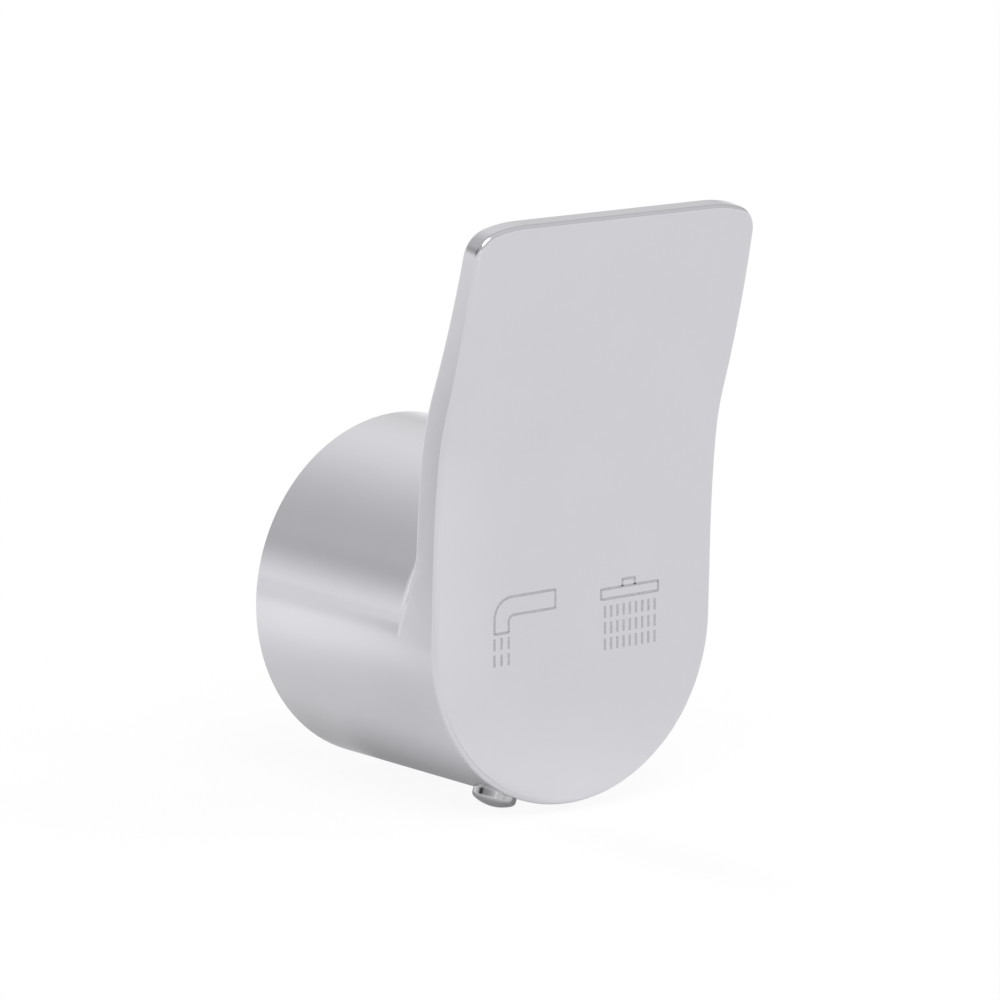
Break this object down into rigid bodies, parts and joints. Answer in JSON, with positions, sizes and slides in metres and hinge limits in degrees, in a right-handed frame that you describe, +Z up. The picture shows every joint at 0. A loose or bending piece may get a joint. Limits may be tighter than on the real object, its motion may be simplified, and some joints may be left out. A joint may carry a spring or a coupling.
{
  "type": "diverter handle",
  "caption": "Chrome lever handle for a bath and shower diverter: hollow round hub with a splined spindle socket and a flat leaning finger blade.",
  "frame": {"origin": "on the hub axis at the mouth of the spindle socket, on the end of the inner boss", "axes": "+Y along the hub axis out of the back towards the valve, so the front face looks along -Y; +Z up along the blade; +X to the right seen from the front"},
  "size_m": [0.05, 0.05, 0.0873],
  "materials": {
    "chrome_casting": "polished chrome plate on a zinc casting, faint polishing haze",
    "chrome_plug": "polished chrome plate on a moulded plug",
    "screw_steel": "plain turned stainless steel"
  },
  "bodies": {
    "root": {"handle_body": "chrome_casting", "cover_plug": "chrome_plug", "set_screw": "screw_steel"}
  },
  "joints": []
}
